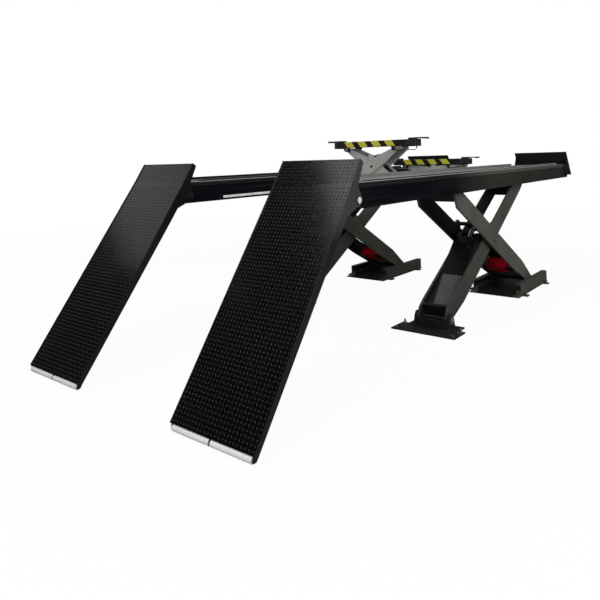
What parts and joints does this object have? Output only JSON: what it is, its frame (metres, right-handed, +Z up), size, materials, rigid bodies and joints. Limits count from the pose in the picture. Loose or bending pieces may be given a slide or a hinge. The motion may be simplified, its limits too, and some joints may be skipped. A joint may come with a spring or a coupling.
{
  "type": "scissor alignment lift",
  "caption": "Drive-on scissor lift for wheel alignment: hinged approach ramps, runways with turnplates and slip plates, and rolling jacks between them.",
  "frame": {"origin": "on the floor, under the middle of the whole lift", "axes": "+Z up, +Y from the approach ramps to the wheel stops, +X from the left runway to the right one"},
  "size_m": [2.2946, 6.0628, 1.6937],
  "materials": {
    "runway_black": "satin black powder coat",
    "ramp_black": "gloss black on chequer plate",
    "leg_grey": "satin dark olive grey paint",
    "jack_grey": "satin mid grey paint",
    "beam_black": "black with yellow slanted bands",
    "lock_red": "satin dark red paint",
    "cylinder_black": "gloss black paint",
    "bright_steel": "ground steel",
    "rod_chrome": "hard chromed rod",
    "plate_grey": "dull steel plate",
    "slide_block": "dark bearing plastic",
    "zinc_bolt": "zinc plated"
  },
  "bodies": {
    "floor_bases": {"front_base_left": "leg_grey", "rear_base_left": "leg_grey", "front_base_right": "leg_grey", "rear_base_right": "leg_grey", "levelling_bolts": "zinc_bolt"},
    "inner_legs_right": {"inner_leg_right": "leg_grey", "inner_leg_shafts_right": "bright_steel", "cylinder_right": "cylinder_black", "cylinder_cover_right": "leg_grey"},
    "outer_legs_right": {"outer_leg_right": "leg_grey", "outer_leg_shafts_right": "bright_steel", "centre_pin_right": "bright_steel", "lock_box_right": "lock_red"},
    "lower_slides_right": {"foot_slides_right": "slide_block"},
    "upper_slides_right": {"head_slides_right": "slide_block"},
    "lifting_rod_right": {"piston_rod_right": "rod_chrome"},
    "platform_right": {"runway_right": "runway_black", "jack_rail_right": "bright_steel", "hinge_pins_right": "bright_steel"},
    "approach_ramp_right": {"ramp_right": "ramp_black"},
    "ramp_roller_pair_right": {"ramp_rollers_right": "bright_steel"},
    "wheel_stop_plate_right": {"wheel_stop_right": "runway_black"},
    "turn_disc_right": {"turnplate_right": "plate_grey"},
    "slip_sheet_right": {"slip_plate_right": "plate_grey"},
    "inner_legs_left": {"inner_leg_left": "leg_grey", "inner_leg_shafts_left": "bright_steel", "cylinder_left": "cylinder_black", "cylinder_cover_left": "leg_grey"},
    "outer_legs_left": {"outer_leg_left": "leg_grey", "outer_leg_shafts_left": "bright_steel", "centre_pin_left": "bright_steel", "lock_box_left": "lock_red"},
    "lower_slides_left": {"foot_slides_left": "slide_block"},
    "upper_slides_left": {"head_slides_left": "slide_block"},
    "lifting_rod_left": {"piston_rod_left": "rod_chrome"},
    "platform_left": {"runway_left": "runway_black", "jack_rail_left": "bright_steel", "hinge_pins_left": "bright_steel"},
    "approach_ramp_left": {"ramp_left": "ramp_black"},
    "ramp_roller_pair_left": {"ramp_rollers_left": "bright_steel"},
    "wheel_stop_plate_left": {"wheel_stop_left": "runway_black"},
    "turn_disc_left": {"turnplate_left": "plate_grey"},
    "slip_sheet_left": {"slip_plate_left": "plate_grey"},
    "front_jack_trolley": {"front_jack_carriage": "jack_grey"},
    "front_jack_outer_arms": {"front_jack_arm_outer": "jack_grey"},
    "front_jack_inner_arms": {"front_jack_arm_inner": "jack_grey", "front_jack_ram": "cylinder_black"},
    "front_jack_crossbeam": {"front_jack_beam": "beam_black"},
    "front_jack_left_reach": {"front_jack_arm_left": "beam_black"},
    "front_jack_right_reach": {"front_jack_arm_right": "beam_black"},
    "front_jack_piston": {"front_jack_ram_rod": "rod_chrome"},
    "rear_jack_trolley": {"rear_jack_carriage": "jack_grey"},
    "rear_jack_outer_arms": {"rear_jack_arm_outer": "jack_grey"},
    "rear_jack_inner_arms": {"rear_jack_arm_inner": "jack_grey", "rear_jack_ram": "cylinder_black"},
    "rear_jack_crossbeam": {"rear_jack_beam": "beam_black"},
    "rear_jack_left_reach": {"rear_jack_arm_left": "beam_black"},
    "rear_jack_right_reach": {"rear_jack_arm_right": "beam_black"},
    "rear_jack_piston": {"rear_jack_ram_rod": "rod_chrome"}
  },
  "joints": [
    {"name": "lift_right", "type": "hinge", "parent": "floor_bases", "child": "inner_legs_right", "pos_m": [0.811, -0.38745, 0.085], "axis": [1, 0, 0], "range_deg": [-25.75, 10.75]},
    {"name": "leg_cross_right", "type": "hinge", "parent": "inner_legs_right", "child": "outer_legs_right", "pos_m": [0.811, 0.6277, 0.65351], "axis": [1, 0, 0], "range_deg": [-22, 52]},
    {"name": "lower_slide_right", "type": "hinge", "parent": "outer_legs_right", "child": "lower_slides_right", "pos_m": [0.811, 1.64285, 0.085], "axis": [1, 0, 0], "range_deg": [-26.05, 11.05]},
    {"name": "upper_slide_right", "type": "hinge", "parent": "inner_legs_right", "child": "upper_slides_right", "pos_m": [0.811, 1.64285, 1.22202], "axis": [1, 0, 0], "range_deg": [-11.05, 26.05]},
    {"name": "platform_pin_right", "type": "hinge", "parent": "outer_legs_right", "child": "platform_right", "pos_m": [0.811, -0.38745, 1.22202], "axis": [1, 0, 0], "range_deg": [-26.05, 11.05]},
    {"name": "rod_stroke_right", "type": "slide", "parent": "inner_legs_right", "child": "lifting_rod_right", "axis": [0, 0.7655, 0.6435], "range_m": [-0.1318, 0.0556]},
    {"name": "ramp_hinge_right", "type": "hinge", "parent": "platform_right", "child": "approach_ramp_right", "pos_m": [0.811, -2.02045, 1.24102], "axis": [1, 0, 0], "range_deg": [-44.27, 18.77]},
    {"name": "roller_spin_right", "type": "hinge", "parent": "approach_ramp_right", "child": "ramp_roller_pair_right", "pos_m": [0.811, -3.01137, 0.02621], "axis": [1, 0, 0], "continuous": true},
    {"name": "stop_fold_right", "type": "hinge", "parent": "platform_right", "child": "wheel_stop_plate_right", "pos_m": [0.811, 2.79655, 1.25802], "axis": [1, 0, 0], "range_deg": [-80, 0]},
    {"name": "turn_right", "type": "hinge", "parent": "platform_right", "child": "turn_disc_right", "pos_m": [0.811, 2.12755, 1.34402], "axis": [0, 0, 1], "range_deg": [-45, 45]},
    {"name": "slip_right", "type": "slide", "parent": "platform_right", "child": "slip_sheet_right", "axis": [1, 0, 0], "range_m": [-0.032, 0.032]},
    {"name": "lift_left", "type": "hinge", "parent": "floor_bases", "child": "inner_legs_left", "pos_m": [-0.811, -0.38745, 0.085], "axis": [1, 0, 0], "range_deg": [-25.75, 10.75]},
    {"name": "leg_cross_left", "type": "hinge", "parent": "inner_legs_left", "child": "outer_legs_left", "pos_m": [-0.811, 0.6277, 0.65351], "axis": [1, 0, 0], "range_deg": [-22, 52]},
    {"name": "lower_slide_left", "type": "hinge", "parent": "outer_legs_left", "child": "lower_slides_left", "pos_m": [-0.811, 1.64285, 0.085], "axis": [1, 0, 0], "range_deg": [-26.05, 11.05]},
    {"name": "upper_slide_left", "type": "hinge", "parent": "inner_legs_left", "child": "upper_slides_left", "pos_m": [-0.811, 1.64285, 1.22202], "axis": [1, 0, 0], "range_deg": [-11.05, 26.05]},
    {"name": "platform_pin_left", "type": "hinge", "parent": "outer_legs_left", "child": "platform_left", "pos_m": [-0.811, -0.38745, 1.22202], "axis": [1, 0, 0], "range_deg": [-26.05, 11.05]},
    {"name": "rod_stroke_left", "type": "slide", "parent": "inner_legs_left", "child": "lifting_rod_left", "axis": [0, 0.7655, 0.6435], "range_m": [-0.1318, 0.0556]},
    {"name": "ramp_hinge_left", "type": "hinge", "parent": "platform_left", "child": "approach_ramp_left", "pos_m": [-0.811, -2.02045, 1.24102], "axis": [1, 0, 0], "range_deg": [-44.27, 18.77]},
    {"name": "roller_spin_left", "type": "hinge", "parent": "approach_ramp_left", "child": "ramp_roller_pair_left", "pos_m": [-0.811, -3.01137, 0.02621], "axis": [1, 0, 0], "continuous": true},
    {"name": "stop_fold_left", "type": "hinge", "parent": "platform_left", "child": "wheel_stop_plate_left", "pos_m": [-0.811, 2.79655, 1.25802], "axis": [1, 0, 0], "range_deg": [-80, 0]},
    {"name": "turn_left", "type": "hinge", "parent": "platform_left", "child": "turn_disc_left", "pos_m": [-0.811, 2.12755, 1.34402], "axis": [0, 0, 1], "range_deg": [-45, 45]},
    {"name": "slip_left", "type": "slide", "parent": "platform_left", "child": "slip_sheet_left", "axis": [1, 0, 0], "range_m": [-0.032, 0.032]},
    {"name": "front_jack_roll", "type": "slide", "parent": "platform_right", "child": "front_jack_trolley", "axis": [0, 1, 0], "range_m": [-1.45, 0.45]},
    {"name": "front_jack_lift", "type": "hinge", "parent": "front_jack_trolley", "child": "front_jack_outer_arms", "pos_m": [-0.3, 0.06755, 1.23702], "axis": [0, -1, 0], "range_deg": [-19.5, 0.55]},
    {"name": "front_jack_cross", "type": "hinge", "parent": "front_jack_outer_arms", "child": "front_jack_inner_arms", "pos_m": [0.00003, 0.06755, 1.41588], "axis": [0, -1, 0], "range_deg": [-1.4, 39.3]},
    {"name": "front_jack_beam_pin", "type": "hinge", "parent": "front_jack_inner_arms", "child": "front_jack_crossbeam", "pos_m": [-0.3, 0.06755, 1.59474], "axis": [0, -1, 0], "range_deg": [-19.7, 0.75]},
    {"name": "front_jack_left_arm", "type": "slide", "parent": "front_jack_crossbeam", "child": "front_jack_left_reach", "axis": [-1, 0, 0], "range_m": [0, 0.15]},
    {"name": "front_jack_right_arm", "type": "slide", "parent": "front_jack_crossbeam", "child": "front_jack_right_reach", "axis": [1, 0, 0], "range_m": [0, 0.15]},
    {"name": "front_jack_ram_stroke", "type": "slide", "parent": "front_jack_inner_arms", "child": "front_jack_piston", "axis": [-0.6652, 0, 0.7466], "range_m": [-0.0589, 0.0026]},
    {"name": "rear_jack_roll", "type": "slide", "parent": "platform_right", "child": "rear_jack_trolley", "axis": [0, 1, 0], "range_m": [-0.45, 0.95]},
    {"name": "rear_jack_lift", "type": "hinge", "parent": "rear_jack_trolley", "child": "rear_jack_outer_arms", "pos_m": [-0.3, 1.31755, 1.23702], "axis": [0, -1, 0], "range_deg": [-0.95, 19]},
    {"name": "rear_jack_cross", "type": "hinge", "parent": "rear_jack_outer_arms", "child": "rear_jack_inner_arms", "pos_m": [0.04154, 1.31755, 1.31024], "axis": [0, -1, 0], "range_deg": [-38.3, 2.2]},
    {"name": "rear_jack_beam_pin", "type": "hinge", "parent": "rear_jack_inner_arms", "child": "rear_jack_crossbeam", "pos_m": [-0.3, 1.31755, 1.38346], "axis": [0, -1, 0], "range_deg": [-1.15, 19.2]},
    {"name": "rear_jack_left_arm", "type": "slide", "parent": "rear_jack_crossbeam", "child": "rear_jack_left_reach", "axis": [-1, 0, 0], "range_m": [0, 0.15]},
    {"name": "rear_jack_right_arm", "type": "slide", "parent": "rear_jack_crossbeam", "child": "rear_jack_right_reach", "axis": [1, 0, 0], "range_m": [0, 0.15]},
    {"name": "rear_jack_ram_stroke", "type": "slide", "parent": "rear_jack_inner_arms", "child": "rear_jack_piston", "axis": [-0.8695, 0, 0.4939], "range_m": [-0.0038, 0.0574]}
  ],
  "couplings": [
    {"joint": "leg_cross_right", "follows": "lift_right", "ratio": -2},
    {"joint": "lower_slide_right", "follows": "lift_right", "ratio": 1},
    {"joint": "upper_slide_right", "follows": "lift_right", "ratio": -1},
    {"joint": "platform_pin_right", "follows": "lift_right", "ratio": 1},
    {"joint": "rod_stroke_right", "follows": "lift_right", "m_per_rad": 0.291},
    {"joint": "ramp_hinge_right", "follows": "lift_right", "ratio": 1.7},
    {"joint": "lift_left", "follows": "lift_right", "ratio": 1},
    {"joint": "leg_cross_left", "follows": "lift_right", "ratio": -2},
    {"joint": "lower_slide_left", "follows": "lift_right", "ratio": 1},
    {"joint": "upper_slide_left", "follows": "lift_right", "ratio": -1},
    {"joint": "platform_pin_left", "follows": "lift_right", "ratio": 1},
    {"joint": "rod_stroke_left", "follows": "lift_right", "m_per_rad": 0.291},
    {"joint": "ramp_hinge_left", "follows": "lift_right", "ratio": 1.7},
    {"joint": "front_jack_cross", "follows": "front_jack_lift", "ratio": -2},
    {"joint": "front_jack_beam_pin", "follows": "front_jack_lift", "ratio": 1},
    {"joint": "front_jack_ram_stroke", "follows": "front_jack_lift", "m_per_rad": 0.17},
    {"joint": "rear_jack_cross", "follows": "rear_jack_lift", "ratio": -2},
    {"joint": "rear_jack_beam_pin", "follows": "rear_jack_lift", "ratio": 1},
    {"joint": "rear_jack_ram_stroke", "follows": "rear_jack_lift", "m_per_rad": 0.17}
  ]
}
